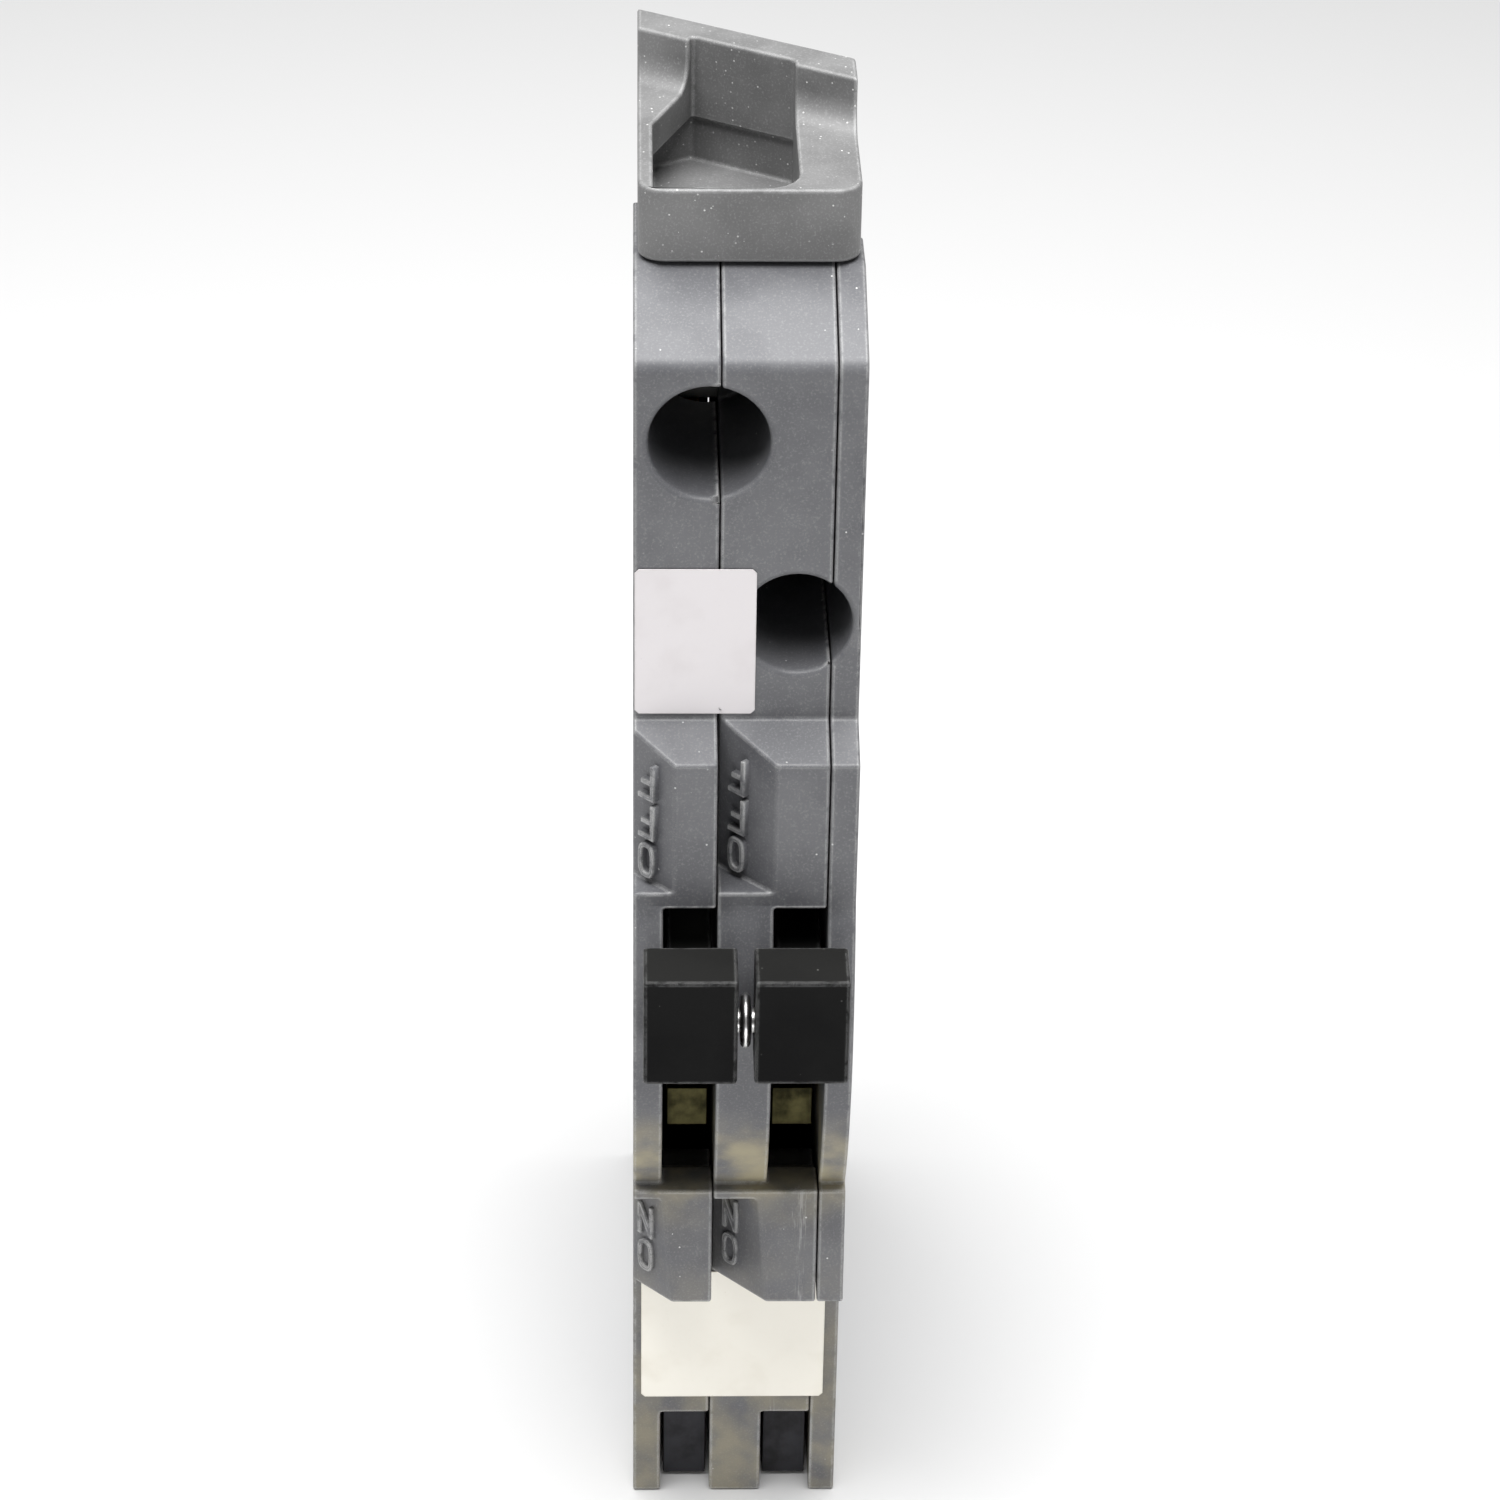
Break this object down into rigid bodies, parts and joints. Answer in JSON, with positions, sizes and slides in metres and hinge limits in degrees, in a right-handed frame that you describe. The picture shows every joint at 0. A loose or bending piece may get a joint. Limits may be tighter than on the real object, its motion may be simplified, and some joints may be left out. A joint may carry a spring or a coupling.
{
  "type": "circuit breaker",
  "caption": "Thin multi-pole plug-in circuit breaker with tied toggle handles, front terminal wells, bus slots at one end and a mounting foot at the other.",
  "frame": {"origin": "middle of the line end's flat face, at the web between the bus slots", "axes": "+Z from the line end to the load end, -Y out of the front where the handles are, +X across the poles"},
  "size_m": [0.019, 0.0695, 0.1351],
  "materials": {
    "case": "moulded grey thermoset, fine matte",
    "foot": "moulded neutral grey, fine matte",
    "handle": "black moulded plastic, satin",
    "steel": "zinc-plated",
    "bright_steel": "bright turned steel",
    "dark_steel": "blackened steel",
    "copper": "bare copper",
    "brass": "dull brass",
    "tinned": "tin and silver plated",
    "white_label": "plain white paper",
    "cream_label": "plain cream paper"
  },
  "bodies": {
    "case": {"left_case": "case", "centre_case": "case", "right_cover": "case", "mounting_foot": "foot", "foot_screw": "steel", "case_rivet_1": "steel", "case_rivet_2": "steel", "case_rivet_3": "steel", "case_rivet_4": "steel", "handle_pivot_pin": "steel", "operating_spring_1": "steel", "operating_spring_2": "steel", "jaw_spring_1": "dark_steel", "arc_plate_1a": "dark_steel", "arc_plate_1b": "dark_steel", "arc_plate_1c": "dark_steel", "magnet_yoke_1": "dark_steel", "jaw_spring_2": "dark_steel", "arc_plate_2a": "dark_steel", "arc_plate_2b": "dark_steel", "arc_plate_2c": "dark_steel", "magnet_yoke_2": "dark_steel", "line_jaw_1": "copper", "braid_1": "copper", "load_strap_1": "copper", "line_jaw_2": "copper", "braid_2": "copper", "load_strap_2": "copper", "bimetal_1": "brass", "bimetal_2": "brass", "fixed_contact_1": "tinned", "terminal_lug_1": "tinned", "fixed_contact_2": "tinned", "terminal_lug_2": "tinned", "load_end_label": "white_label", "line_end_label": "cream_label"},
    "handle": {"handle_left": "handle", "handle_right": "handle", "handle_tie_pin": "bright_steel"},
    "trip_bar_body": {"trip_bar": "handle"},
    "arm_1": {"moving_arm_1": "brass", "moving_contact_1": "tinned"},
    "cradle_1_body": {"cradle_1": "steel"},
    "armature_1_body": {"armature_1": "dark_steel"},
    "clamp_1": {"pressure_plate_1": "steel"},
    "screw_1": {"terminal_screw_1": "steel"},
    "arm_2": {"moving_arm_2": "brass", "moving_contact_2": "tinned"},
    "cradle_2_body": {"cradle_2": "steel"},
    "armature_2_body": {"armature_2": "dark_steel"},
    "clamp_2": {"pressure_plate_2": "steel"},
    "screw_2": {"terminal_screw_2": "steel"}
  },
  "joints": [
    {"name": "handle_throw", "type": "hinge", "parent": "case", "child": "handle", "pos_m": [0, 0, 0.058], "axis": [1, 0, 0], "range_deg": [-7, 31]},
    {"name": "trip_bar_turn", "type": "hinge", "parent": "case", "child": "trip_bar_body", "pos_m": [0, 0.0095, 0.087], "axis": [1, 0, 0], "range_deg": [0, 15], "stiffness_Nm_per_rad": 0.002, "springref_deg": -17.19},
    {"name": "arm_1_swing", "type": "hinge", "parent": "case", "child": "arm_1", "pos_m": [0, -0.014, 0.044], "axis": [1, 0, 0], "range_deg": [-3.6, 15.6]},
    {"name": "cradle_1_trip", "type": "hinge", "parent": "case", "child": "cradle_1_body", "pos_m": [0, 0.01, 0.05], "axis": [1, 0, 0], "range_deg": [0, 11]},
    {"name": "armature_1_pull", "type": "hinge", "parent": "case", "child": "armature_1_body", "pos_m": [0, 0.015, 0.0845], "axis": [1, 0, 0], "range_deg": [0, 5], "stiffness_Nm_per_rad": 0.002, "springref_deg": -17.19},
    {"name": "clamp_1_slide", "type": "slide", "parent": "case", "child": "clamp_1", "axis": [0, 0, -1], "range_m": [0, 0.00141]},
    {"name": "screw_1_turn", "type": "hinge", "parent": "clamp_1", "child": "screw_1", "pos_m": [-0.00367, -0.004, 0.1124], "axis": [0, 0, -1], "range_deg": [0, 720]},
    {"name": "arm_2_swing", "type": "hinge", "parent": "case", "child": "arm_2", "pos_m": [0, -0.014, 0.044], "axis": [1, 0, 0], "range_deg": [-3.6, 15.6]},
    {"name": "cradle_2_trip", "type": "hinge", "parent": "case", "child": "cradle_2_body", "pos_m": [0, 0.01, 0.05], "axis": [1, 0, 0], "range_deg": [0, 11]},
    {"name": "armature_2_pull", "type": "hinge", "parent": "case", "child": "armature_2_body", "pos_m": [0, 0.015, 0.0845], "axis": [1, 0, 0], "range_deg": [0, 5], "stiffness_Nm_per_rad": 0.002, "springref_deg": -17.19},
    {"name": "clamp_2_slide", "type": "slide", "parent": "case", "child": "clamp_2", "axis": [0, 0, -1], "range_m": [0, 0.00141]},
    {"name": "screw_2_turn", "type": "hinge", "parent": "clamp_2", "child": "screw_2", "pos_m": [0.00367, 0.008, 0.0956], "axis": [0, 0, -1], "range_deg": [0, 720]}
  ],
  "couplings": [
    {"joint": "arm_1_swing", "follows": "handle_throw", "ratio": 0.5},
    {"joint": "arm_2_swing", "follows": "handle_throw", "ratio": 0.5}
  ]
}
